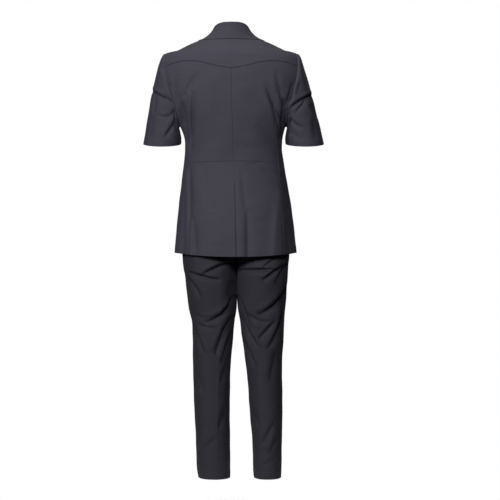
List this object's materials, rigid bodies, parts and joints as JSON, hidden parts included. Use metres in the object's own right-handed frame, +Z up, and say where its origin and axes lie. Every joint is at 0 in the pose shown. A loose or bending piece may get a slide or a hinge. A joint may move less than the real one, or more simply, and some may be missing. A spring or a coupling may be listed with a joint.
{
  "type": "safari suit",
  "caption": "Men's safari suit: a short-sleeved jacket with a pointed back yoke, patch pockets and a back vent, over plain trousers, hollow and worn by nobody.",
  "frame": {"origin": "base of the neck, in the middle of the jacket's neck seam, where the suit hangs on the wearer's shoulders", "axes": "+Z up, the suit faces -Y, +X towards the wearer's left"},
  "size_m": [0.5995, 0.2756, 1.4932],
  "materials": {
    "jacket_cloth": "smooth charcoal suiting",
    "trouser_cloth": "smooth dark charcoal suiting",
    "button": "dark horn-look plastic"
  },
  "bodies": {
    "root": {"back_yoke": "jacket_cloth", "collar_stand": "jacket_cloth", "collar_fall": "jacket_cloth", "back_left": "jacket_cloth", "back_skirt_left": "jacket_cloth", "front_left": "jacket_cloth", "sleeve_left": "jacket_cloth", "chest_pocket_left": "jacket_cloth", "chest_flap_left": "jacket_cloth", "hip_pocket_left": "jacket_cloth", "hip_flap_left": "jacket_cloth", "back_right": "jacket_cloth", "back_skirt_right": "jacket_cloth", "front_right": "jacket_cloth", "sleeve_right": "jacket_cloth", "chest_pocket_right": "jacket_cloth", "chest_flap_right": "jacket_cloth", "hip_pocket_right": "jacket_cloth", "hip_flap_right": "jacket_cloth", "trouser_back_left": "trouser_cloth", "trouser_back_right": "trouser_cloth", "trouser_front_left": "trouser_cloth", "trouser_front_right": "trouser_cloth", "waistband": "trouser_cloth", "fly": "trouser_cloth", "front_button_1": "button", "front_button_2": "button", "front_button_3": "button", "front_button_4": "button", "front_button_5": "button", "waist_button": "button"}
  },
  "joints": []
}
